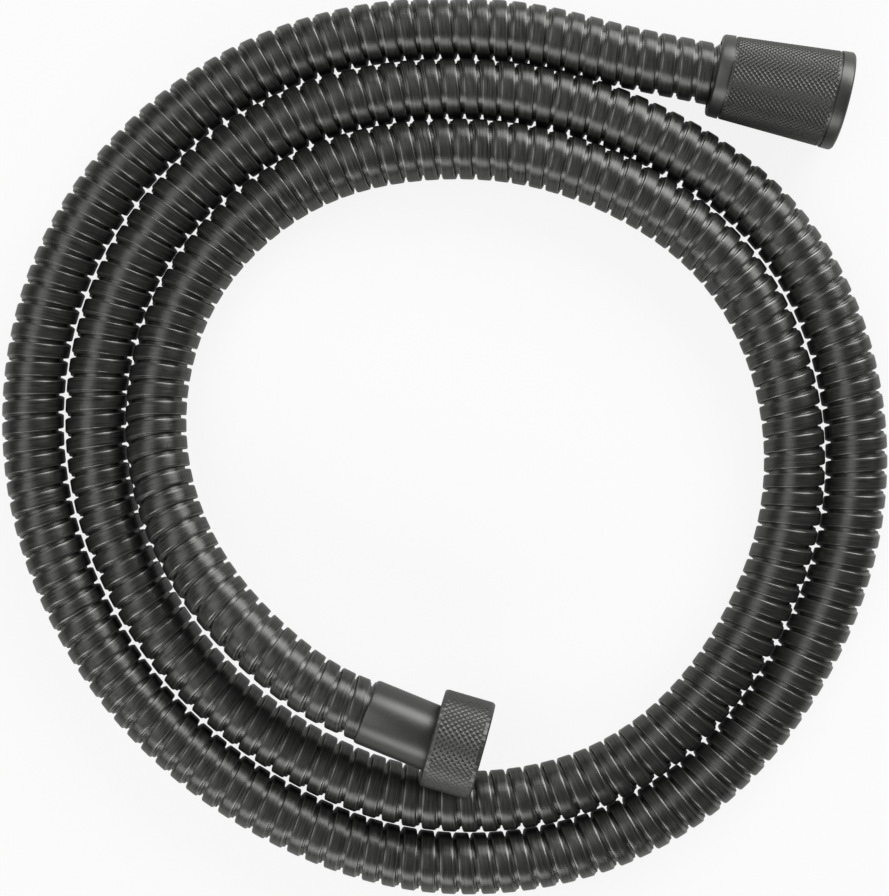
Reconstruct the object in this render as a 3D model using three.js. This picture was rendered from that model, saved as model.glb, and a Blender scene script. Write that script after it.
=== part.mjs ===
// A shower hose, 1.5 m over its nuts, lying in a loose flat coil of two and a half turns.
// A cone nut turns on the handset end, and a union nut turns behind a ferrule on the wall end.
// Millimetres, +Z up. The origin is the middle of the whole object's box, on the floor.
import * as THREE from 'three';

// What touches keeps this gap, because each piece is a solid of its own.
const GAP = 0.3;

// The hose: a metal sleeve around the hose that holds the water. Both are twelve-sided, and
// their radii are measured to the flats, so that the sleeve rests on flat facets.
const HOSE_FACETS = 12;
const HOSE_STEPS = 80;
const SLEEVE_RADIUS = 7.2;
const SLEEVE_WALL = 1.6;
const INNER_HOSE_WALL = 1.5;

const SLEEVE_BORE = SLEEVE_RADIUS - SLEEVE_WALL;
const INNER_HOSE_RADIUS = SLEEVE_BORE - GAP;
const INNER_HOSE_BORE = INNER_HOSE_RADIUS - INNER_HOSE_WALL;
const SLEEVE_CORNER = SLEEVE_RADIUS / Math.cos(Math.PI / HOSE_FACETS);

// Both nuts take a standard half-inch pipe thread. The thread itself is a plain bore here, at
// the thread's crest radius.
const THREAD_CREST_RADIUS = 9.32;
const WASHER_RADIUS = THREAD_CREST_RADIUS - GAP;
const WASHER_HOLE_RADIUS = 5.5;

// Both inserts: a barbed tail in the inner hose, a neck and a flange, with the water way through.
const WATERWAY_RADIUS = 2.5;
const TAIL_BARB_RADIUS = INNER_HOSE_BORE - GAP;
const TAIL_BARB_HEIGHT = 0.5;
const TAIL_BARB_PITCH = 3;
const TAIL_BARBS = 4;
const TAIL_TIP = 1;

// The cone nut. Lengths run along its axis from the small end, which the hose enters.
const CONE_LENGTH = 32.3;
const CONE_SMALL_RADIUS = 10;
const CONE_LARGE_RADIUS = 12;
const CONE_EDGE_ROUND = 0.9;
const CONE_BAND = 3.1;
const CONE_GROOVE_WIDTH = 0.4;
const CONE_GROOVE_DEPTH = 0.35;
const CONE_BORE_RADIUS = 8.4;
const CONE_SHOULDER = 19;
const CONE_RING_THICKNESS = 1.2;
const CONE_FLANGE_THICKNESS = 2;
const CONE_WASHER_THICKNESS = 2;
const CONE_NECK_RADIUS = 3.9;
const CONE_CRIMP_WALL = 0.25;
const CONE_CRIMP_LENGTH = 12;
const CONE_CRIMP_CAP = 0.6;

// The wall end: a ferrule over the hose's end, then the union nut, which hangs loose on the
// insert's neck. Lengths run along the ferrule's axis from its hose side.
const FERRULE_WALL = 0.25;
const FERRULE_LENGTH = 17.9;
const FERRULE_EDGE_ROUND = 0.2;
const FERRULE_HOSE_DEPTH = 9;
const NECK_RADIUS = 5;
const NUT_RING_THICKNESS = 0.7;
const NUT_FLANGE_THICKNESS = 1.1;
const NUT_FLANGE_RADIUS = 7.7;

// The union nut. Lengths run along its own axis from the side that the ferrule enters.
const NUT_LENGTH = 12.5;
const NUT_RADIUS = 12;
const NUT_CHAMFER = 0.6;
const NUT_RECESS_DEPTH = 1.6;
const NUT_WEB_THICKNESS = 1.4;
const NUT_WEB_BORE_RADIUS = 6.4;
const NUT_WASHER_THICKNESS = 1.6;

// The coil runs counterclockwise from the cone, and its size is the distance from its centre to
// the hose's middle where the outer turn starts. An inset says how far inside that distance a
// point lies. The turns have one every 30 degrees: they lie side by side, and open a little where
// the hose eases outwards.
const COIL_RADIUS = 104.2;
const COIL_STEP = 30;
const OUTER_TURN = { from: 90, insets: [0, -0.9, -0.9, 2.2, 5.3, 5.3, 1.1, -1.2, 0.7] };
const MIDDLE_TURN = { from: 360, insets: [1.7, 4.3, 11.5, 14.9, 14.3, 14.7, 17.9, 21, 20.9, 16.6, 14, 16] };
const INNER_TURN = { from: 720, insets: [17.1, 20.1, 26.5, 29.9, 29.4, 30, 33.5, 37.9] };
const LEAD_OUT = [{ angle: 66, inset: -2.3 }, { angle: 77, inset: -0.7 }];
const LEAD_IN = [{ angle: 948, inset: 39.3 }];

// Where the ends lie: the middle of each fitting's hose side, by its angle around the coil and
// its inset. Headings are in degrees from +X, seen from above. The nut lies against the turn
// beside it, so the ferrule's height is the nut's radius and what is left below the nut there.
const CONE_FACE = { angle: 54.12, inset: -9.6, heading: -12.7 };
const FERRULE_FACE = { angle: 253.4, inset: 38, heading: -22.1, slope: 1 };
const ROOM_BELOW_NUT = 7.3;

// The union nut hangs askew: its face in the ferrule's frame, and its turn from the ferrule.
const NUT_HANG = { along: 17.27, left: 0.42, up: 0.25, turn: 6.3, tip: 2 };

// The hose comes down from the cone's height to the floor, and rises onto the turn beside it
// before the ferrule.
const FLOOR_HEIGHT = SLEEVE_RADIUS;
const LANDING_ANGLE = 110;
const LIFT_OFF_ANGLE = 860;

const ROUND_FACETS = 48;
const HIDDEN_FACETS = 24;

const degrees = THREE.MathUtils.degToRad;

const blackMetal = new THREE.MeshStandardMaterial({ color: 0x2b2c2c, metalness: 0.8, roughness: 0.42 });
const brass = new THREE.MeshStandardMaterial({ color: 0xb08d4a, metalness: 1, roughness: 0.35 });
const innerHosePlastic = new THREE.MeshStandardMaterial({ color: 0xd8d4c8, metalness: 0, roughness: 0.6 });
const ringPlastic = new THREE.MeshStandardMaterial({ color: 0xe8e8e4, metalness: 0, roughness: 0.5 });
const washerRubber = new THREE.MeshStandardMaterial({ color: 0x1a1a1a, metalness: 0, roughness: 0.8 });

function onFloorPlan(angle, inset, height) {
  const radius = COIL_RADIUS - inset;
  return new THREE.Vector3(
    radius * Math.cos(degrees(angle)),
    radius * Math.sin(degrees(angle)),
    height,
  );
}

// A fitting's own frame: its origin on the axis at one end, and +X along the axis.
function fittingFrame(origin, heading, slope) {
  const frame = new THREE.Group();
  frame.position.copy(origin);
  frame.rotation.order = 'ZYX';
  frame.rotation.set(0, -degrees(slope), degrees(heading));
  frame.updateMatrixWorld();
  return frame;
}

// A turned piece about +X. The profile is a list of [along, radius], closed on itself.
function turned(name, profile, material, facets = HIDDEN_FACETS) {
  const points = [...profile, profile[0]].map(([along, radius]) => new THREE.Vector2(radius, along));
  const geometry = new THREE.LatheGeometry(points, facets);
  geometry.rotateZ(-Math.PI / 2);
  const mesh = new THREE.Mesh(geometry, material);
  mesh.name = name;
  return mesh;
}

// A plain ring, such as a washer.
function ring(name, start, thickness, holeRadius, radius, material) {
  const end = start + thickness;
  return turned(name, [[start, holeRadius], [start, radius], [end, radius], [end, holeRadius]], material);
}

// A quarter round on a turned piece's outer edge, in three points.
function roundedEdge(along, radius, round, side) {
  return [0, 30, 60, 90].map((angle) => [
    along + side * round * (1 - Math.sin(degrees(angle))),
    radius - round * (1 - Math.cos(degrees(angle))),
  ]);
}

// The route. Each end of the hose runs straight inside its fitting.
const coneHalfAngle = Math.atan((CONE_LARGE_RADIUS - CONE_SMALL_RADIUS) / CONE_LENGTH);
const coneFrame = fittingFrame(
  onFloorPlan(CONE_FACE.angle, CONE_FACE.inset, CONE_SMALL_RADIUS * Math.cos(coneHalfAngle)),
  CONE_FACE.heading,
  THREE.MathUtils.radToDeg(coneHalfAngle),
);
const ferruleFrame = fittingFrame(
  onFloorPlan(FERRULE_FACE.angle, FERRULE_FACE.inset, NUT_RADIUS + ROOM_BELOW_NUT),
  FERRULE_FACE.heading,
  FERRULE_FACE.slope,
);
const nutFrame = fittingFrame(
  new THREE.Vector3(NUT_HANG.along, NUT_HANG.left, NUT_HANG.up).applyMatrix4(ferruleFrame.matrixWorld),
  FERRULE_FACE.heading + NUT_HANG.turn,
  FERRULE_FACE.slope + NUT_HANG.tip,
);

const CONE_HOSE_DEPTH = CONE_SHOULDER - GAP - CONE_CRIMP_CAP - GAP;
const CONE_STRAIGHT = 3;
const FERRULE_STRAIGHT = 6;

function onAxis(frame, along) {
  return new THREE.Vector3(along, 0, 0).applyMatrix4(frame.matrixWorld);
}

function hoseHeight(angle) {
  if (angle < LANDING_ANGLE) {
    const mouth = onAxis(coneFrame, -CONE_STRAIGHT);
    const mouthAngle = THREE.MathUtils.radToDeg(Math.atan2(mouth.y, mouth.x));
    const left = (LANDING_ANGLE - angle) / (LANDING_ANGLE - mouthAngle);
    return FLOOR_HEIGHT + (mouth.z - FLOOR_HEIGHT) * left * left;
  }
  if (angle > LIFT_OFF_ANGLE) {
    const mouth = onAxis(ferruleFrame, -FERRULE_STRAIGHT);
    const mouthAngle = 1080 + THREE.MathUtils.radToDeg(Math.atan2(mouth.y, mouth.x));
    const done = (angle - LIFT_OFF_ANGLE) / (mouthAngle - LIFT_OFF_ANGLE);
    return THREE.MathUtils.lerp(FLOOR_HEIGHT, mouth.z, done * done * (3 - 2 * done));
  }
  return FLOOR_HEIGHT;
}

function coilPoints({ from, insets }) {
  return insets.map((inset, i) => ({ angle: from + i * COIL_STEP, inset }));
}

// Between the listed points the inset changes smoothly with the angle.
const routeKnots = [
  ...LEAD_OUT,
  ...coilPoints(OUTER_TURN),
  ...coilPoints(MIDDLE_TURN),
  ...coilPoints(INNER_TURN),
  ...LEAD_IN,
];

function easedInset(angle) {
  let i = 1;
  while (i < routeKnots.length - 3 && angle > routeKnots[i + 1].angle) i += 1;
  const [before, start, end, after] = routeKnots.slice(i - 1, i + 3);
  const startSlope = (end.inset - before.inset) / (end.angle - before.angle);
  const endSlope = (after.inset - start.inset) / (after.angle - start.angle);
  const span = end.angle - start.angle;
  const t = (angle - start.angle) / span;
  return (
    start.inset * (1 + 2 * t) * (1 - t) ** 2
    + end.inset * t * t * (3 - 2 * t)
    + span * startSlope * t * (1 - t) ** 2
    - span * endSlope * t * t * (1 - t)
  );
}

const ROUTE_STEP = 10;

function hoseRoute() {
  const first = routeKnots[1].angle;
  const last = routeKnots[routeKnots.length - 2].angle;
  const points = [onAxis(coneFrame, CONE_HOSE_DEPTH), onAxis(coneFrame, CONE_HOSE_DEPTH / 2)];
  points.push(onAxis(coneFrame, -CONE_STRAIGHT));
  points.push(onFloorPlan(routeKnots[0].angle, routeKnots[0].inset, hoseHeight(routeKnots[0].angle)));
  const count = Math.round((last - first) / ROUTE_STEP);
  for (let i = 0; i <= count; i += 1) {
    const angle = first + ((last - first) * i) / count;
    points.push(onFloorPlan(angle, easedInset(angle), hoseHeight(angle)));
  }
  const end = routeKnots[routeKnots.length - 1];
  points.push(onFloorPlan(end.angle, end.inset, hoseHeight(end.angle)));
  points.push(onAxis(ferruleFrame, -FERRULE_STRAIGHT));
  points.push(onAxis(ferruleFrame, 0), onAxis(ferruleFrame, FERRULE_HOSE_DEPTH));
  return points;
}

// A curve whose section stays upright, so that the hose's lowest facets lie flat on the floor.
class UprightCurve extends THREE.CatmullRomCurve3 {
  computeFrenetFrames(segments) {
    const up = new THREE.Vector3(0, 0, 1);
    const frames = { tangents: [], normals: [], binormals: [] };
    for (let i = 0; i <= segments; i += 1) {
      const tangent = this.getTangentAt(i / segments);
      const side = new THREE.Vector3().crossVectors(up, tangent).normalize();
      frames.tangents.push(tangent);
      frames.normals.push(side);
      frames.binormals.push(new THREE.Vector3().crossVectors(tangent, side));
    }
    return frames;
  }
}

const route = new UprightCurve(hoseRoute());
route.arcLengthDivisions = 3000;

function flatSidedRing(flatRadius) {
  const corner = flatRadius / Math.cos(Math.PI / HOSE_FACETS);
  const points = [];
  for (let i = 0; i < HOSE_FACETS; i += 1) {
    const angle = ((i + 0.5) * 2 * Math.PI) / HOSE_FACETS;
    points.push(new THREE.Vector2(corner * Math.cos(angle), corner * Math.sin(angle)));
  }
  return points;
}

function hoseTube(name, flatRadius, boreFlatRadius, material) {
  const section = new THREE.Shape(flatSidedRing(flatRadius));
  section.holes.push(new THREE.Path(flatSidedRing(boreFlatRadius)));
  const geometry = new THREE.ExtrudeGeometry(section, {
    extrudePath: route,
    steps: HOSE_STEPS,
    bevelEnabled: false,
  });
  const mesh = new THREE.Mesh(geometry, material);
  mesh.name = name;
  return mesh;
}

// The barbed tail's outline, from the hose's end at endAlong back to the tail's tip.
function barbedTail(endAlong) {
  const root = TAIL_BARB_RADIUS - TAIL_BARB_HEIGHT;
  const points = [];
  for (let i = 0; i < TAIL_BARBS; i += 1) {
    const barb = endAlong - (i + 0.5) * TAIL_BARB_PITCH;
    points.push([barb, root], [barb, TAIL_BARB_RADIUS], [barb - TAIL_BARB_PITCH / 2, root]);
  }
  return points;
}

// The insert: water way, tail, neck from the hose's end on, and the flange.
function insert(name, hoseEnd, neckRadius, flangeStart, flangeThickness, flangeRadius) {
  const tail = barbedTail(hoseEnd);
  const tip = tail[tail.length - 1][0] - TAIL_TIP;
  const flangeEnd = flangeStart + flangeThickness;
  return turned(name, [
    [tip, WATERWAY_RADIUS],
    [flangeEnd, WATERWAY_RADIUS],
    [flangeEnd, flangeRadius],
    [flangeStart, flangeRadius],
    [flangeStart, neckRadius],
    [hoseEnd + GAP, neckRadius],
    [hoseEnd + GAP, TAIL_BARB_RADIUS - TAIL_BARB_HEIGHT],
    ...tail,
    [tip, TAIL_BARB_RADIUS - TAIL_BARB_HEIGHT],
  ].reverse(), brass);
}

// The cone nut and what it holds.
const coneRingStart = CONE_SHOULDER + GAP;
const coneFlangeStart = coneRingStart + CONE_RING_THICKNESS + GAP;
const coneWasherStart = coneFlangeStart + CONE_FLANGE_THICKNESS + GAP;
const coneCrimpRadius = SLEEVE_CORNER + GAP + CONE_CRIMP_WALL;

function coneOutside(along) {
  return CONE_SMALL_RADIUS + ((CONE_LARGE_RADIUS - CONE_SMALL_RADIUS) * along) / CONE_LENGTH;
}

function coneGroove(along) {
  const end = along + CONE_GROOVE_WIDTH;
  return [
    [along, coneOutside(along)],
    [along, coneOutside(along) - CONE_GROOVE_DEPTH],
    [end, coneOutside(end) - CONE_GROOVE_DEPTH],
    [end, coneOutside(end)],
  ];
}

function coneNut() {
  return turned('cone_nut', [
    [0, CONE_BORE_RADIUS],
    ...roundedEdge(0, coneOutside(CONE_EDGE_ROUND), CONE_EDGE_ROUND, 1).reverse(),
    ...coneGroove(CONE_BAND),
    ...coneGroove(CONE_LENGTH - CONE_BAND - CONE_GROOVE_WIDTH),
    ...roundedEdge(CONE_LENGTH, coneOutside(CONE_LENGTH - CONE_EDGE_ROUND), CONE_EDGE_ROUND, -1),
    [CONE_LENGTH, THREAD_CREST_RADIUS],
    [CONE_SHOULDER, THREAD_CREST_RADIUS],
    [CONE_SHOULDER, CONE_BORE_RADIUS],
  ], blackMetal, ROUND_FACETS);
}

function coneCrimp() {
  const capEnd = CONE_SHOULDER - GAP;
  const capStart = capEnd - CONE_CRIMP_CAP;
  const start = capEnd - CONE_CRIMP_LENGTH;
  const holeRadius = CONE_NECK_RADIUS + GAP;
  return turned('cone_crimp', [
    [start, coneCrimpRadius - CONE_CRIMP_WALL],
    [start, coneCrimpRadius],
    [capEnd, coneCrimpRadius],
    [capEnd, holeRadius],
    [capStart, holeRadius],
    [capStart, coneCrimpRadius - CONE_CRIMP_WALL],
  ], blackMetal);
}

coneFrame.add(
  coneNut(),
  coneCrimp(),
  insert('cone_insert', CONE_HOSE_DEPTH, CONE_NECK_RADIUS, coneFlangeStart, CONE_FLANGE_THICKNESS, WASHER_RADIUS),
  ring('cone_slide_ring', coneRingStart, CONE_RING_THICKNESS, CONE_NECK_RADIUS + GAP, WASHER_RADIUS, ringPlastic),
  ring('cone_seal_washer', coneWasherStart, CONE_WASHER_THICKNESS, WASHER_HOLE_RADIUS, WASHER_RADIUS, washerRubber),
);

// The ferrule and the insert behind it. The union nut hangs a little askew on the neck, so the
// ring and the flange keep clear of its web by what that tilt takes up at their rims.
const nutTilt = new THREE.Vector3(1, 0, 0).transformDirection(nutFrame.matrixWorld)
  .angleTo(new THREE.Vector3(1, 0, 0).transformDirection(ferruleFrame.matrixWorld));
const tiltRoom = NUT_FLANGE_RADIUS * Math.sin(nutTilt) + GAP;
const ferruleToNut = onAxis(nutFrame, 0).distanceTo(onAxis(ferruleFrame, 0));
const nutWebEnd = NUT_RECESS_DEPTH + NUT_WEB_THICKNESS;
const nutRingStart = ferruleToNut + nutWebEnd + tiltRoom;
const nutFlangeStart = nutRingStart + NUT_RING_THICKNESS + GAP;
const nutFlangeEnd = nutFlangeStart + NUT_FLANGE_THICKNESS;
const nutWasherStart = nutFlangeEnd - ferruleToNut + tiltRoom;

function nutFerrule() {
  const innerRadius = SLEEVE_CORNER + GAP;
  const outerRadius = innerRadius + FERRULE_WALL;
  const step = FERRULE_HOSE_DEPTH + GAP;
  return turned('nut_ferrule', [
    [0, innerRadius],
    ...roundedEdge(0, outerRadius, FERRULE_EDGE_ROUND, 1).reverse(),
    [FERRULE_LENGTH, outerRadius],
    [FERRULE_LENGTH, NECK_RADIUS + GAP],
    [step, NECK_RADIUS + GAP],
    [step, innerRadius],
  ], blackMetal, ROUND_FACETS);
}

function unionNut() {
  return turned('union_nut', [
    [0, THREAD_CREST_RADIUS],
    [0, NUT_RADIUS - NUT_CHAMFER],
    [NUT_CHAMFER, NUT_RADIUS],
    [NUT_LENGTH - NUT_CHAMFER, NUT_RADIUS],
    [NUT_LENGTH, NUT_RADIUS - NUT_CHAMFER],
    [NUT_LENGTH, THREAD_CREST_RADIUS],
    [nutWebEnd, THREAD_CREST_RADIUS],
    [nutWebEnd, NUT_WEB_BORE_RADIUS],
    [NUT_RECESS_DEPTH, NUT_WEB_BORE_RADIUS],
    [NUT_RECESS_DEPTH, THREAD_CREST_RADIUS],
  ], blackMetal, ROUND_FACETS);
}

ferruleFrame.add(
  nutFerrule(),
  insert('nut_insert', FERRULE_HOSE_DEPTH, NECK_RADIUS, nutFlangeStart, NUT_FLANGE_THICKNESS, NUT_FLANGE_RADIUS),
  ring('nut_slide_ring', nutRingStart, NUT_RING_THICKNESS, NECK_RADIUS + GAP, NUT_FLANGE_RADIUS, ringPlastic),
);
nutFrame.add(
  unionNut(),
  ring('nut_seal_washer', nutWasherStart, NUT_WASHER_THICKNESS, WASHER_HOLE_RADIUS, WASHER_RADIUS, washerRubber),
);

const hose = new THREE.Group();
hose.add(
  hoseTube('metal_sleeve', SLEEVE_RADIUS, SLEEVE_BORE, blackMetal),
  hoseTube('inner_hose', INNER_HOSE_RADIUS, INNER_HOSE_BORE, innerHosePlastic),
  coneFrame,
  ferruleFrame,
  nutFrame,
);

// The object's box is centred over the origin. The floor is already at Z = 0.
const middle = new THREE.Box3().setFromObject(hose, true).getCenter(new THREE.Vector3());
hose.position.set(-middle.x, -middle.y, 0);

export default hose;
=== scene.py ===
# A satin black stripwound shower hose, lying in a loose flat coil on a white table.
import math

import bmesh
import bpy
from mathutils import Matrix, Vector


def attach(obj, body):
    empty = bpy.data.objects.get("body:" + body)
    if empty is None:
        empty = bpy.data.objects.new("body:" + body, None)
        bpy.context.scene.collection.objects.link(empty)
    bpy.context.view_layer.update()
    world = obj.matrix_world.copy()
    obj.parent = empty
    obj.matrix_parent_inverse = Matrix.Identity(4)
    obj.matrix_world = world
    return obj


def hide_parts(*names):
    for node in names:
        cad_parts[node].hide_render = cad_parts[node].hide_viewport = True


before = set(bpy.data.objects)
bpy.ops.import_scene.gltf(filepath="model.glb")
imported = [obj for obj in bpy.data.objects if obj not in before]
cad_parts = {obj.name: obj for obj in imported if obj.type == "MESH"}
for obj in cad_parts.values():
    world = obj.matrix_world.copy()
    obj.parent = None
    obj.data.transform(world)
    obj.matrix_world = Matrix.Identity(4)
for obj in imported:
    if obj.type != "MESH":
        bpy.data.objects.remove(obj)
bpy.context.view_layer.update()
MM = 0.001

# The table is a plain white sheet. It shows white to the camera, more faintly in the metal, and
# keeps a soft shadow of the hose. A wide soft box stands at the top right, a low one at the bottom
# and a faint one high at the left. The room round them is pale to the camera and dim in the metal.
TABLE_SIZE = 4.0
TABLE_COLOUR = (0.86, 0.86, 0.86, 1.0)
TABLE_GLOW_TO_CAMERA = 0.87
TABLE_GLOW_IN_METAL = 0.12
ROOM_COLOUR = (0.12, 0.12, 0.12, 1.0)
ROOM_COLOUR_TO_CAMERA = (0.93, 0.93, 0.93, 1.0)
SOFT_BOXES = [
    # name, place, aimed at, width, height, watts
    ("soft_box_top_right", (0.54, 0.86, 0.60), (0, 0, 0), 1.2, 0.6, 12.0),
    ("soft_box_bottom", (-0.25, -0.92, 0.55), (0, 0, 0), 1.2, 0.4, 5.8),
    ("soft_box_left", (-0.50, 0.10, 1.00), (0, 0, 0), 1.1, 0.6, 3.3),
]
CAMERA_PLACE = (-0.000064, -0.000550, 0.400)
CAMERA_LENS = 63.4
CAMERA_SENSOR = 36.0

table_mesh = bmesh.new()
bmesh.ops.create_grid(table_mesh, x_segments=1, y_segments=1, size=TABLE_SIZE / 2)
table_data = bpy.data.meshes.new("table")
table_mesh.to_mesh(table_data)
table_mesh.free()
table = bpy.data.objects.new("table", table_data)
bpy.context.scene.collection.objects.link(table)

table_paper = bpy.data.materials.new("white_table")
table_paper.use_nodes = True
nodes, links = table_paper.node_tree.nodes, table_paper.node_tree.links
nodes.clear()
out = nodes.new("ShaderNodeOutputMaterial")
matt = nodes.new("ShaderNodeBsdfDiffuse")
matt.inputs["Color"].default_value = TABLE_COLOUR
glow = nodes.new("ShaderNodeEmission")
glow.inputs["Strength"].default_value = 1.0
ray = nodes.new("ShaderNodeLightPath")
to_camera = nodes.new("ShaderNodeMath")
to_camera.operation = "MULTIPLY"
to_camera.inputs[1].default_value = TABLE_GLOW_TO_CAMERA
in_metal = nodes.new("ShaderNodeMath")
in_metal.operation = "MULTIPLY_ADD"
in_metal.inputs[1].default_value = TABLE_GLOW_IN_METAL
mix = nodes.new("ShaderNodeMixShader")
links.new(ray.outputs["Is Camera Ray"], to_camera.inputs[0])
links.new(ray.outputs["Is Glossy Ray"], in_metal.inputs[0])
links.new(to_camera.outputs[0], in_metal.inputs[2])
links.new(in_metal.outputs[0], mix.inputs["Fac"])
links.new(matt.outputs[0], mix.inputs[1])
links.new(glow.outputs[0], mix.inputs[2])
links.new(mix.outputs[0], out.inputs["Surface"])
table.data.materials.append(table_paper)

world = bpy.data.worlds.new("room")
bpy.context.scene.world = world
world.use_nodes = True
nodes, links = world.node_tree.nodes, world.node_tree.links
room_light = nodes["Background"]
room_light.inputs["Color"].default_value = ROOM_COLOUR
room_seen = nodes.new("ShaderNodeBackground")
room_seen.inputs["Color"].default_value = ROOM_COLOUR_TO_CAMERA
room_ray = nodes.new("ShaderNodeLightPath")
room_mix = nodes.new("ShaderNodeMixShader")
links.new(room_ray.outputs["Is Camera Ray"], room_mix.inputs["Fac"])
links.new(room_light.outputs[0], room_mix.inputs[1])
links.new(room_seen.outputs[0], room_mix.inputs[2])
links.new(room_mix.outputs[0], nodes["World Output"].inputs["Surface"])

for name, place, target, width, height, watts in SOFT_BOXES:
    lamp = bpy.data.lights.new(name, "AREA")
    lamp.shape = "RECTANGLE"
    lamp.size, lamp.size_y, lamp.energy = width, height, watts
    lamp_object = bpy.data.objects.new(name, lamp)
    lamp_object.location = place
    aim = Vector(target) - Vector(place)
    lamp_object.rotation_euler = aim.to_track_quat("-Z", "Y").to_euler()
    bpy.context.scene.collection.objects.link(lamp_object)

camera = bpy.data.cameras.new("camera_above")
camera.sensor_fit = "VERTICAL"
camera.sensor_height = CAMERA_SENSOR
camera.lens = CAMERA_LENS
camera_object = bpy.data.objects.new("camera_above", camera)
camera_object.location = CAMERA_PLACE
bpy.context.scene.collection.objects.link(camera_object)
bpy.context.scene.camera = camera_object
bpy.context.scene.view_settings.view_transform = "Standard"

# The route of the hose: out of the cone nut, down to the table, two and a half turns inwards,
# and up over the turn beside it into the ferrule. Distances from the coil's centre are given
# every 30 degrees, counterclockwise, and the heights are those of the hose's middle.
COIL_CENTRE = Vector((-0.1876 * MM, -0.5499 * MM, 0))
COIL_RADIUS = 104.2 * MM
COIL_INSETS_MM = {
    66: -2.3, 77: -0.7,
    90: 0, 120: -0.9, 150: -0.9, 180: 2.2, 210: 5.3, 240: 5.3, 270: 1.1, 300: -1.2, 330: 0.7,
    360: 1.7, 390: 4.3, 420: 11.5, 450: 14.9, 480: 14.3, 510: 14.7, 540: 17.9, 570: 21, 600: 20.9,
    630: 16.6, 660: 14, 690: 16, 720: 17.1, 750: 20.1, 780: 26.5, 810: 29.9, 840: 29.4, 870: 30,
    900: 33.5, 930: 37.9, 948: 39.3,
}
HOSE_RADIUS = 7.48 * MM
LANDING_ANGLE = 110
LIFT_OFF_ANGLE = 860
FERRULE_LAP = 3 * 360
ROUTE_STEP = 10

CONE_FACE = Vector((66.509, 91.656, 9.981)) * MM
CONE_AXIS = Vector((0.97366979, -0.21942596, 0.06180114)).normalized()
CONE_HOSE_DEPTH = 17.8 * MM
CONE_STRAIGHT = 3 * MM
FERRULE_FACE = Vector((-19.100, -63.991, 19.3)) * MM
FERRULE_AXIS = Vector((0.92638811, -0.37616695, 0.01745241)).normalized()
FERRULE_HOSE_DEPTH = 9 * MM
FERRULE_STRAIGHT = 6 * MM

coil_knots = [(angle, COIL_RADIUS - inset * MM) for angle, inset in COIL_INSETS_MM.items()]


def coil_radius(angle):
    """The coil's radius at an angle, eased between the listed ones."""
    i = 1
    while i < len(coil_knots) - 3 and angle > coil_knots[i + 1][0]:
        i += 1
    (a0, r0), (a1, r1), (a2, r2), (a3, r3) = coil_knots[i - 1:i + 3]
    t = (angle - a1) / (a2 - a1)
    start_slope = (r2 - r0) / (a2 - a0) * (a2 - a1)
    end_slope = (r3 - r1) / (a3 - a1) * (a2 - a1)
    return (r1 * (1 + 2 * t) * (1 - t) ** 2 + r2 * t * t * (3 - 2 * t)
            + start_slope * t * (1 - t) ** 2 - end_slope * t * t * (1 - t))


def angle_of(point):
    """A point's angle round the coil, in degrees."""
    offset = point - COIL_CENTRE
    return math.degrees(math.atan2(offset.y, offset.x))


cone_mouth = CONE_FACE - CONE_AXIS * CONE_STRAIGHT
ferrule_mouth = FERRULE_FACE - FERRULE_AXIS * FERRULE_STRAIGHT


def hose_height(angle):
    """The height of the hose's middle: on the table, but for the ends' rise to the fittings."""
    if angle < LANDING_ANGLE:
        left = (LANDING_ANGLE - angle) / (LANDING_ANGLE - angle_of(cone_mouth))
        return HOSE_RADIUS + (cone_mouth.z - HOSE_RADIUS) * left * left
    if angle > LIFT_OFF_ANGLE:
        done = (angle - LIFT_OFF_ANGLE) / (FERRULE_LAP + angle_of(ferrule_mouth) - LIFT_OFF_ANGLE)
        return HOSE_RADIUS + (ferrule_mouth.z - HOSE_RADIUS) * done * done * (3 - 2 * done)
    return HOSE_RADIUS


def on_coil(angle, radius):
    """The hose's middle at an angle and a distance from the coil's centre."""
    turn = math.radians(angle)
    return COIL_CENTRE + Vector((radius * math.cos(turn), radius * math.sin(turn), hose_height(angle)))


first_angle, last_angle = coil_knots[1][0], coil_knots[-2][0]
step_count = round((last_angle - first_angle) / ROUTE_STEP)
route = [CONE_FACE + CONE_AXIS * CONE_HOSE_DEPTH, CONE_FACE + CONE_AXIS * CONE_HOSE_DEPTH / 2]
route += [cone_mouth, on_coil(*coil_knots[0])]
for i in range(step_count + 1):
    angle = first_angle + (last_angle - first_angle) * i / step_count
    route.append(on_coil(angle, coil_radius(angle)))
route += [on_coil(*coil_knots[-1]), ferrule_mouth]
route += [FERRULE_FACE, FERRULE_FACE + FERRULE_AXIS * FERRULE_HOSE_DEPTH]

SAMPLE_SPACING = 1 * MM
PARTS_PER_GAP = 24


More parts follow.
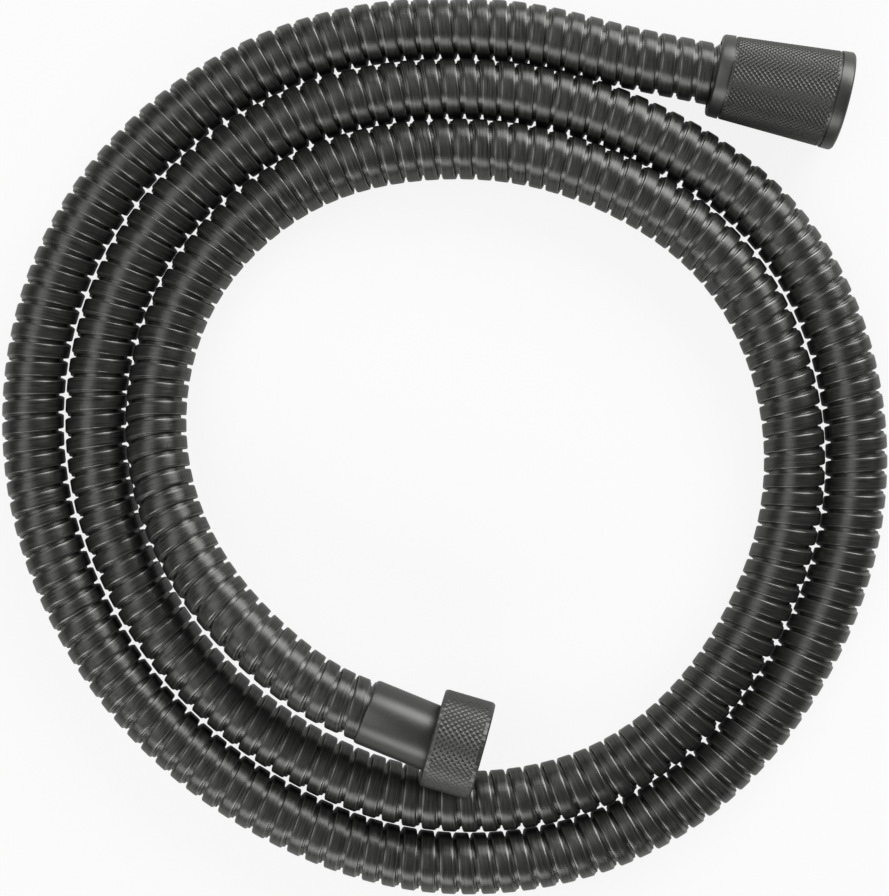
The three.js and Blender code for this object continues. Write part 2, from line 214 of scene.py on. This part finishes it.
def smooth_curve(points, spacing):
    """Evenly spaced (point, tangent, curvature) along the smoothest curve through the points."""
    gaps = [(b - a).length for a, b in zip(points, points[1:])]
    slopes = [(b - a) / gap for a, b, gap in zip(points, points[1:], gaps)]
    count = len(points)
    # The second derivatives at the points, solved for the natural cubic spline.
    weights, bends = [0.0] * count, [Vector((0, 0, 0))] * count
    for i in range(1, count - 1):
        pivot = 2 * (gaps[i - 1] + gaps[i]) - gaps[i - 1] * weights[i - 1]
        weights[i] = gaps[i] / pivot
        bends[i] = ((slopes[i] - slopes[i - 1]) * 6 - bends[i - 1] * gaps[i - 1]) / pivot
    for i in range(count - 2, 0, -1):
        bends[i] = bends[i] - bends[i + 1] * weights[i]
    fine, travelled = [], 0.0
    for i, gap in enumerate(gaps):
        for j in range(PARTS_PER_GAP + (i == len(gaps) - 1)):
            b = j / PARTS_PER_GAP
            a = 1 - b
            place = (points[i] * a + points[i + 1] * b
                     + (bends[i] * (a ** 3 - a) + bends[i + 1] * (b ** 3 - b)) * gap * gap / 6)
            speed = slopes[i] + (bends[i + 1] * (3 * b * b - 1) - bends[i] * (3 * a * a - 1)) * gap / 6
            bend = bends[i] * a + bends[i + 1] * b
            along = speed.normalized()
            turning = (bend - along * bend.dot(along)) / speed.length_squared
            if fine:
                travelled += (place - fine[-1][1]).length
            fine.append((travelled, place, along, turning))
    total = fine[-1][0]
    steps = round(total / spacing)
    samples, k = [], 0
    for n in range(steps + 1):
        goal = total * n / steps
        while k < len(fine) - 2 and fine[k + 1][0] < goal:
            k += 1
        t = (goal - fine[k][0]) / (fine[k + 1][0] - fine[k][0])
        samples.append(tuple(fine[k][c].lerp(fine[k + 1][c], t) for c in (1, 2, 3)))
    return samples, total


hose_samples, hose_length = smooth_curve(route, SAMPLE_SPACING)


def along_hose(distance):
    """The hose's middle, its left, its top and its bend at a distance from the cone's end."""
    place = min(max(distance / hose_length, 0), 1) * (len(hose_samples) - 1)
    i = min(int(place), len(hose_samples) - 2)
    (p0, t0, k0), (p1, t1, k1) = hose_samples[i], hose_samples[i + 1]
    t = place - i
    forward = t0.lerp(t1, t).normalized()
    left = Vector((0, 0, 1)).cross(forward).normalized()
    return p0.lerp(p1, t), left, forward.cross(left), k0.lerp(k1, t)


# The metal sleeve is one strip of thin steel, folded at both hems and wound as a right-handed
# helix, so that each wind hooks into the next. A wind shows a wide crown with a crisp hem, the
# lip that slides out from under it on the outside of a bend, and a narrow groove.
SLEEVE_PITCH = 4.67 * MM
SLEEVE_STEPS = 24
SLEEVE_BORE = 5.75 * MM
BORE_STEP = 8 * MM
GROOVE_RADIUS = 6.15
SLEEVE_PROFILE_MM = [
    (0.00, GROOVE_RADIUS), (0.04, 7.12), (0.16, 7.36), (0.38, 7.45), (0.80, 7.46), (2.78, 7.46),
    (3.18, 7.43), (3.34, 7.35), (3.39, 7.20), (3.40, 6.90), (3.74, 6.86), (3.80, GROOVE_RADIUS),
]
LIP_STARTS = 3.395 * MM
CUT_SNAP = 1e-7
NEAR_CUT = 1e-6
WIND_MERGE = 0.004 * MM
SLEEVE_SHARP_DEGREES = 38
METAL_COLOUR = (0.081, 0.082, 0.078)
SLEEVE_METALLIC = 0.85
SLEEVE_ROUGHNESS = 0.34
STREAK_STRETCH = (0.12, 2.4, 1.0)
STREAK_DEPTH = 0.10 * MM
STREAK_CONTRAST = 0.45

turn_count = math.ceil(hose_length / SLEEVE_PITCH) + 2
sleeve_mesh = bmesh.new()
across = sleeve_mesh.verts.layers.float.new("across")
strip_edge = []
for offset, radius in SLEEVE_PROFILE_MM + [(SLEEVE_PITCH / MM, GROOVE_RADIUS)]:
    vert = sleeve_mesh.verts.new((offset * MM - SLEEVE_PITCH, 0, radius * MM))
    vert[across] = offset * MM
    strip_edge.append(vert)
for a, b in zip(strip_edge, strip_edge[1:]):
    sleeve_mesh.edges.new((a, b))
bmesh.ops.spin(
    sleeve_mesh, geom=sleeve_mesh.verts[:] + sleeve_mesh.edges[:], cent=(0, 0, 0), axis=(1, 0, 0),
    dvec=(SLEEVE_PITCH / SLEEVE_STEPS, 0, 0), angle=2 * math.pi, steps=SLEEVE_STEPS,
    use_merge=False, use_duplicate=False)
winds = 1
while winds < turn_count:
    copy = bmesh.ops.duplicate(
        sleeve_mesh, geom=sleeve_mesh.verts[:] + sleeve_mesh.edges[:] + sleeve_mesh.faces[:])
    bmesh.ops.translate(
        sleeve_mesh, vec=(SLEEVE_PITCH * winds, 0, 0),
        verts=[part for part in copy["geom"] if isinstance(part, bmesh.types.BMVert)])
    winds *= 2
for end, outwards in ((0.0, -1), (hose_length, 1)):
    bmesh.ops.bisect_plane(
        sleeve_mesh, geom=sleeve_mesh.verts[:] + sleeve_mesh.edges[:] + sleeve_mesh.faces[:],
        dist=CUT_SNAP, plane_co=(end, 0, 0), plane_no=(outwards, 0, 0), clear_outer=True)

strip_uv = sleeve_mesh.loops.layers.uv.new("strip")
for face in sleeve_mesh.faces:
    for loop in face.loops:
        vert = loop.vert
        wound = (vert.co.x - vert[across]) / SLEEVE_PITCH * 2 * math.pi * HOSE_RADIUS
        loop[strip_uv].uv = (wound / MM, vert[across] / MM)
bmesh.ops.remove_doubles(sleeve_mesh, verts=sleeve_mesh.verts[:], dist=WIND_MERGE)

# The sleeve's inner wall, which the water hose lies in, joined on at both cut ends.
cut_edges = [edge for edge in sleeve_mesh.edges if edge.is_boundary]
for x in (0.0, hose_length):
    bore = bmesh.ops.create_circle(
        sleeve_mesh, segments=SLEEVE_STEPS, radius=SLEEVE_BORE, matrix=Matrix.Translation((x, 0, 0))
        @ Matrix.Rotation(math.pi / 2, 4, "Y"))
    circle = {edge for vert in bore["verts"] for edge in vert.link_edges}
    cut = [edge for edge in cut_edges if all(abs(v.co.x - x) < NEAR_CUT for v in edge.verts)]
    bmesh.ops.bridge_loops(sleeve_mesh, edges=cut + list(circle))
    if x == 0.0:
        bore_start = list(circle)
    else:
        bore_end = list(circle)
bore_wall = bmesh.ops.bridge_loops(sleeve_mesh, edges=bore_start + bore_end)
long_edges = [edge for edge in bore_wall["edges"]
              if abs(edge.verts[0].co.x - edge.verts[1].co.x) > hose_length / 2]
bmesh.ops.subdivide_edges(sleeve_mesh, edges=long_edges, cuts=round(hose_length / BORE_STEP))

# The straight sleeve is laid along the route. The crowns keep their width on the outside of a bend
# and the lips slide out there, as the hooked winds of the real strip do.
for vert in sleeve_mesh.verts:
    x, y, z = vert.co
    _, left, top, bend = along_hose(x)
    stretch = 1 - (left * y + top * z).dot(bend)
    if vert[across] < LIP_STARTS:
        x += vert[across] * (1 / stretch - 1)
    else:
        x -= (SLEEVE_PITCH - vert[across]) * (1 / stretch - 1)
    centre, left, top, _ = along_hose(x)
    vert.co = centre + left * y + top * z
bmesh.ops.recalc_face_normals(sleeve_mesh, faces=sleeve_mesh.faces[:])


def new_piece(name, mesh, sharp_degrees):
    """A finished mesh as an object, smooth but for the edges sharper than an angle."""
    data = bpy.data.meshes.new(name)
    mesh.to_mesh(data)
    mesh.free()
    data.shade_smooth()
    data.set_sharp_from_angle(angle=math.radians(sharp_degrees))
    piece = bpy.data.objects.new(name, data)
    bpy.context.scene.collection.objects.link(piece)
    return piece


def streaked(name, coordinate, stretch, depth, contrast, colour, metallic, roughness):
    """A finish with fine streaks or grain in its tone, gloss and surface."""
    finish = bpy.data.materials.new(name)
    finish.use_nodes = True
    nodes, links = finish.node_tree.nodes, finish.node_tree.links
    shader = nodes["Principled BSDF"]
    shader.inputs["Metallic"].default_value = metallic
    place = nodes.new("ShaderNodeTexCoord")
    spread = nodes.new("ShaderNodeMapping")
    spread.inputs["Scale"].default_value = stretch
    links.new(place.outputs[coordinate], spread.inputs["Vector"])
    streaks = nodes.new("ShaderNodeTexNoise")
    streaks.inputs["Scale"].default_value = 1.0
    streaks.inputs["Detail"].default_value = 5.0
    streaks.inputs["Roughness"].default_value = 0.65
    links.new(spread.outputs[0], streaks.inputs["Vector"])
    dull = nodes.new("ShaderNodeMapRange")
    dull.inputs["From Min"].default_value = 0.3
    dull.inputs["From Max"].default_value = 0.7
    dull.inputs["To Min"].default_value = roughness - 0.08
    dull.inputs["To Max"].default_value = roughness + 0.08
    links.new(streaks.outputs["Fac"], dull.inputs["Value"])
    links.new(dull.outputs[0], shader.inputs["Roughness"])
    tone = nodes.new("ShaderNodeValToRGB")
    tone.name = "tone"
    tone.color_ramp.elements[0].position = 0.32
    tone.color_ramp.elements[0].color = tuple(c * (1 - contrast) for c in colour) + (1,)
    tone.color_ramp.elements[1].position = 0.68
    tone.color_ramp.elements[1].color = tuple(min(c * (1 + contrast), 1) for c in colour) + (1,)
    links.new(streaks.outputs["Fac"], tone.inputs["Fac"])
    links.new(tone.outputs[0], shader.inputs["Base Color"])
    bump = nodes.new("ShaderNodeBump")
    bump.inputs["Strength"].default_value = 0.6
    bump.inputs["Distance"].default_value = depth
    links.new(streaks.outputs["Fac"], bump.inputs["Height"])
    links.new(bump.outputs[0], shader.inputs["Normal"])
    return finish


# Painted light across each wind: the strip's black is painted lighter along the crown's two edges as
# highlight hairlines, and lighter in the groove as painted light that lifts its shade.
STRIP_PAINTED_LIGHT = [
    (0.00, 1.2), (0.14, 2.6), (0.45, 1.0), (3.03, 1.0), (3.23, 2.4), (3.39, 2.4), (3.44, 1.1),
    (3.74, 1.5), (3.84, 1.4),
]
sleeve = new_piece("stripwound_sleeve", sleeve_mesh, SLEEVE_SHARP_DEGREES)
strip_black = streaked(
    "strip_black", "UV", STREAK_STRETCH, STREAK_DEPTH, STREAK_CONTRAST,
    METAL_COLOUR, SLEEVE_METALLIC, SLEEVE_ROUGHNESS)
nodes, links = strip_black.node_tree.nodes, strip_black.node_tree.links
strip_place = nodes.new("ShaderNodeUVMap")
across_strip = nodes.new("ShaderNodeSeparateXYZ")
in_pitches = nodes.new("ShaderNodeMath")
in_pitches.operation = "DIVIDE"
in_pitches.inputs[1].default_value = SLEEVE_PITCH / MM
# Painted highlight on the crown's edges and painted light in the groove, multiplied into the black.
painted_light_ramp = nodes.new("ShaderNodeValToRGB")
for place, _ in STRIP_PAINTED_LIGHT[1:-1]:
    painted_light_ramp.color_ramp.elements.new(place * MM / SLEEVE_PITCH)
for stop, (place, level) in zip(painted_light_ramp.color_ramp.elements, STRIP_PAINTED_LIGHT):
    stop.position = place * MM / SLEEVE_PITCH
    stop.color = (level, level, level, 1)
painted_light_tone = nodes.new("ShaderNodeMix")
painted_light_tone.data_type = "RGBA"
painted_light_tone.blend_type = "MULTIPLY"
painted_light_tone.inputs["Factor"].default_value = 1.0
links.new(strip_place.outputs["UV"], across_strip.inputs[0])
links.new(across_strip.outputs["Y"], in_pitches.inputs[0])
links.new(in_pitches.outputs[0], painted_light_ramp.inputs["Fac"])
links.new(nodes["tone"].outputs[0], painted_light_tone.inputs[6])
links.new(painted_light_ramp.outputs[0], painted_light_tone.inputs[7])
links.new(painted_light_tone.outputs[2], nodes["Principled BSDF"].inputs["Base Color"])
sleeve.data.materials.append(strip_black)
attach(sleeve, "hose")
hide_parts("metal_sleeve")

# The cone nut, turned from brass and coated black. A diamond knurl runs between two plain bands,
# and inside is a bore for the crimped hose, then the socket with the half-inch pipe thread.
CONE_MM = {
    "length": 32.3, "small": 10.0, "large": 12.0, "round": 0.9, "band": 3.1, "groove": 0.4,
    "groove_depth": 0.55, "groove_slope": 0.04, "bore": 8.4, "shoulder": 19.0,
    "thread_starts": 25.6, "ridge_starts": 26.6,
}
CONE_THREAD_TURNS = 2.6
THREAD_CREST = 9.32
THREAD_ROOT = 10.35
THREAD_LEAD = 0.3
THREAD_PITCH = 1.814
THREAD_STEPS = 48
RIDGE_FOOT = 0.82
RIDGE_FOOT_SUNK = 0.05
RIDGE_CREST = 0.16
TURNED_MERGE = 0.001 * MM
TURNED_SHARP_DEGREES = 25
NUT_COLOUR = (0.102, 0.103, 0.099)
CONE_KNURL_COLUMNS = 112
CONE_KNURL_ROWS = 41
CONE_KNURL_TIP = 0.24
CONE_KNURL_SUNK = 0.02
KNURL_DEPTH = 0.23
COAT_GRAIN = (3500, 3500, 3500)
COAT_DEPTH = 0.01 * MM
COAT_CONTRAST = 0.15
COAT_METALLIC = 0.85
COAT_ROUGHNESS = 0.40


def rounded(along, radius, size, side):
    """Four points of a quarter round at an edge, from the face round to the outside."""
    return [(along + side * size * (1 - math.sin(a)), radius - size * (1 - math.cos(a)))
            for a in (math.pi / 2, math.pi / 3, math.pi / 6, 0)]


def turned(profile_mm, knurl_rows, segments):
    """A closed turned shape about +X. The rows listed as knurled are marked for knurling."""
    mesh = bmesh.new()
    row = mesh.verts.layers.int.new("knurl_row")
    ring = []
    for i, (along, radius) in enumerate(profile_mm):
        vert = mesh.verts.new((along * MM, 0, radius * MM))
        vert[row] = knurl_rows.index(i) + 1 if i in knurl_rows else 0
        ring.append(vert)
    for a, b in zip(ring, ring[1:] + ring[:1]):
        mesh.edges.new((a, b))
    bmesh.ops.spin(
        mesh, geom=mesh.verts[:] + mesh.edges[:], cent=(0, 0, 0), axis=(1, 0, 0), dvec=(0, 0, 0),
        angle=2 * math.pi, steps=segments, use_merge=True, use_duplicate=False)
    bmesh.ops.remove_doubles(mesh, verts=mesh.verts[:], dist=TURNED_MERGE)
    return mesh


def knurl(mesh, segments, row_count, tip):
    """Cuts a diamond knurl: grooves cross from corner to corner, and the tips stand between."""
    row = mesh.verts.layers.int["knurl_row"]
    grooves, tips = [], []
    for vert in mesh.verts:
        if vert[row]:
            column = round(math.atan2(vert.co.y, vert.co.z) / (2 * math.pi) * segments)
            if (vert[row] + column) % 2:
                tips.append(vert)
            else:
                grooves.append(vert)
    bmesh.ops.connect_verts(mesh, verts=grooves)
    tips = [vert for vert in tips if 1 < vert[row] < row_count]
    for vert in tips:
        radius = math.hypot(vert.co.y, vert.co.z)
        vert.co.yz = vert.co.yz * (1 + KNURL_DEPTH * MM / radius)
    bmesh.ops.bevel(mesh, geom=tips, offset=tip * MM, offset_type="OFFSET", segments=1,
                    profile=0.5, affect="VERTICES", material=-1)


def add_thread(mesh, start, turns):
    """A right-handed thread ridge inside a socket, its foot in the wall."""
    foot_radius = THREAD_ROOT + RIDGE_FOOT_SUNK
    ridge = [mesh.verts.new(((start + x) * MM, 0, r * MM)) for x, r in (
        (-RIDGE_FOOT, foot_radius), (-RIDGE_CREST, THREAD_CREST),
        (RIDGE_CREST, THREAD_CREST), (RIDGE_FOOT, foot_radius))]
    edges = [mesh.edges.new(pair) for pair in zip(ridge, ridge[1:] + ridge[:1])]
    bmesh.ops.spin(
        mesh, geom=ridge + edges, cent=(0, 0, 0), axis=(1, 0, 0),
        dvec=(THREAD_PITCH * MM / THREAD_STEPS, 0, 0), angle=2 * math.pi * turns,
        steps=round(THREAD_STEPS * turns), use_merge=False, use_duplicate=False)
    bmesh.ops.holes_fill(mesh, edges=[edge for edge in mesh.edges if edge.is_boundary], sides=0)


def place_along(mesh, face, axis):
    """Moves a fitting from its own axis, +X from the origin, to its place on the object."""
    up = Vector((0, 0, 1))
    left = up.cross(axis).normalized()
    top = axis.cross(left)
    place = Matrix((axis, left, top)).transposed().to_4x4()
    bmesh.ops.transform(mesh, matrix=Matrix.Translation(face) @ place, verts=mesh.verts[:])
    bmesh.ops.recalc_face_normals(mesh, faces=mesh.faces[:])


def coated(name):
    """The fine satin black coat of the turned fittings."""
    return streaked(
        name, "Object", COAT_GRAIN, COAT_DEPTH, COAT_CONTRAST, NUT_COLOUR, COAT_METALLIC, COAT_ROUGHNESS)


def cone_radius(along):
    """The cone's outer radius at a distance from its small end."""
    return CONE_MM["small"] + (CONE_MM["large"] - CONE_MM["small"]) * along / CONE_MM["length"]


knurl_start = CONE_MM["band"] + CONE_MM["groove"]
knurl_end = CONE_MM["length"] - CONE_MM["band"] - CONE_MM["groove"]
knurl_places = [knurl_start + (knurl_end - knurl_start) * i / (CONE_KNURL_ROWS - 1)
                for i in range(CONE_KNURL_ROWS)]
outside = [(0, CONE_MM["bore"])]
outside += rounded(0, cone_radius(CONE_MM["round"]), CONE_MM["round"], 1)
small_groove = cone_radius(CONE_MM["band"]) - CONE_MM["groove_depth"]
outside += [(CONE_MM["band"], cone_radius(CONE_MM["band"])),
            (CONE_MM["band"] + CONE_MM["groove_slope"], small_groove),
            (knurl_start - CONE_MM["groove_slope"], small_groove)]
first_row = len(outside)
outside += [(x, cone_radius(x) - KNURL_DEPTH - CONE_KNURL_SUNK) for x in knurl_places]
large_groove = cone_radius(knurl_end) - CONE_MM["groove_depth"]
large_band = CONE_MM["length"] - CONE_MM["band"]
outside += [(knurl_end + CONE_MM["groove_slope"], large_groove),
            (large_band - CONE_MM["groove_slope"], large_groove),
            (large_band, cone_radius(large_band))]
mouth_radius = cone_radius(CONE_MM["length"] - CONE_MM["round"])
outside += rounded(CONE_MM["length"], mouth_radius, CONE_MM["round"], -1)[::-1]
inside = [(CONE_MM["length"], THREAD_ROOT), (CONE_MM["thread_starts"], THREAD_ROOT),
          (CONE_MM["thread_starts"] - THREAD_LEAD, THREAD_CREST), (CONE_MM["shoulder"], THREAD_CREST),
          (CONE_MM["shoulder"], CONE_MM["bore"])]
knurled_rows = list(range(first_row, first_row + CONE_KNURL_ROWS))
cone_mesh = turned(outside + inside, knurled_rows, CONE_KNURL_COLUMNS)
knurl(cone_mesh, CONE_KNURL_COLUMNS, CONE_KNURL_ROWS, CONE_KNURL_TIP)
add_thread(cone_mesh, CONE_MM["ridge_starts"], CONE_THREAD_TURNS)
place_along(cone_mesh, CONE_FACE, CONE_AXIS)
cone = new_piece("knurled_cone_nut", cone_mesh, TURNED_SHARP_DEGREES)
cone.data.materials.append(coated("cone_black"))
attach(cone, "cone")
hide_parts("cone_nut")

# The ferrule at the wall end: a smooth turned sleeve, coated as the nuts are and crimped over the
# hose's end.
FERRULE_MM = {
    "radius": 8.004, "length": 17.9, "round": 0.2, "hose_bore": 7.754, "step": 9.3, "neck_bore": 5.3,
}
ROLLED_LIP = [
    (1.1, FERRULE_MM["hose_bore"]), (0.0, 7.52), (0.04, 7.66), (0.25, 7.86),
    (0.75, FERRULE_MM["radius"]),
]
FERRULE_SEGMENTS = 96
ferrule_profile = list(ROLLED_LIP)
ferrule_profile += rounded(FERRULE_MM["length"], FERRULE_MM["radius"], FERRULE_MM["round"], -1)[::-1]
ferrule_profile += [(FERRULE_MM["length"], FERRULE_MM["neck_bore"]),
                    (FERRULE_MM["step"], FERRULE_MM["neck_bore"]),
                    (FERRULE_MM["step"], FERRULE_MM["hose_bore"])]
ferrule_mesh = turned(ferrule_profile, [], FERRULE_SEGMENTS)
place_along(ferrule_mesh, FERRULE_FACE, FERRULE_AXIS)
ferrule = new_piece("smooth_ferrule", ferrule_mesh, TURNED_SHARP_DEGREES)
ferrule.data.materials.append(coated("ferrule_black"))
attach(ferrule, "hose")
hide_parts("nut_ferrule")

# The union nut, which hangs loose behind the ferrule: a knurled ring with a web inside that the
# insert's flange pulls against, and the half-inch pipe thread in front of it.
NUT_FACE = Vector((-2.948, -70.096, 19.851)) * MM
NUT_AXIS = Vector((0.96089931, -0.27190710, 0.05233596)).normalized()
NUT_MM = {
    "length": 12.5, "radius": 12.0, "chamfer": 0.35, "recess": 1.6, "web_end": 3.0, "web_bore": 6.4,
    "thread_starts": 9.5, "ridge_starts": 10.35,
}
NUT_THREAD_TURNS = 0.7
NUT_KNURL_COLUMNS = 98
NUT_KNURL_ROWS = 16
NUT_KNURL_TIP = 0.28
knurl_width = NUT_MM["length"] - 2 * NUT_MM["chamfer"]
nut_knurl_places = [NUT_MM["chamfer"] + knurl_width * i / (NUT_KNURL_ROWS - 1)
                    for i in range(NUT_KNURL_ROWS)]
face_edge = NUT_MM["radius"] - NUT_MM["chamfer"] - KNURL_DEPTH
nut_outside = [(0, THREAD_CREST), (0, face_edge)]
first_row = len(nut_outside)
nut_outside += [(x, NUT_MM["radius"] - KNURL_DEPTH) for x in nut_knurl_places]
nut_outside += [(NUT_MM["length"], face_edge)]
nut_inside = [(NUT_MM["length"], THREAD_ROOT), (NUT_MM["thread_starts"], THREAD_ROOT),
              (NUT_MM["thread_starts"] - THREAD_LEAD, THREAD_CREST), (NUT_MM["web_end"], THREAD_CREST),
              (NUT_MM["web_end"], NUT_MM["web_bore"]), (NUT_MM["recess"], NUT_MM["web_bore"]),
              (NUT_MM["recess"], THREAD_CREST)]
knurled_rows = list(range(first_row, first_row + NUT_KNURL_ROWS))
nut_mesh = turned(nut_outside + nut_inside, knurled_rows, NUT_KNURL_COLUMNS)
knurl(nut_mesh, NUT_KNURL_COLUMNS, NUT_KNURL_ROWS, NUT_KNURL_TIP)
add_thread(nut_mesh, NUT_MM["ridge_starts"], NUT_THREAD_TURNS)
place_along(nut_mesh, NUT_FACE, NUT_AXIS)
nut = new_piece("knurled_union_nut", nut_mesh, TURNED_SHARP_DEGREES)
nut.data.materials.append(coated("nut_black"))
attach(nut, "nut")
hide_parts("union_nut")

# The pieces held inside stay as the CAD made them: turned brass inserts, a moulded water hose and
# slide rings, rubber washers and a pressed steel cup. Each finish has its own grain.
HELD_PIECES = [
    # node, colour, metallic, roughness, grain per metre, grain depth in mm
    ("inner_hose", (0.66, 0.63, 0.55), 0.0, 0.5, 900, 0.02),
    ("cone_crimp", METAL_COLOUR, 0.75, 0.4, 2500, 0.01),
    ("cone_insert", (0.56, 0.40, 0.16), 1.0, 0.32, 3500, 0.01),
    ("nut_insert", (0.56, 0.40, 0.16), 1.0, 0.32, 3500, 0.01),
    ("cone_slide_ring", (0.7, 0.7, 0.68), 0.0, 0.45, 1500, 0.01),
    ("nut_slide_ring", (0.7, 0.7, 0.68), 0.0, 0.45, 1500, 0.01),
    ("cone_seal_washer", (0.022, 0.022, 0.022), 0.0, 0.6, 2500, 0.03),
    ("nut_seal_washer", (0.022, 0.022, 0.022), 0.0, 0.6, 2500, 0.03),
]
HELD_CONTRAST = 0.12
for node_name, colour, metallic, roughness, grain, depth in HELD_PIECES:
    material = streaked(
        node_name + "_finish", "Object", (grain, grain, grain), depth * MM, HELD_CONTRAST,
        colour, metallic, roughness)
    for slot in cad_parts[node_name].material_slots:
        slot.material = material
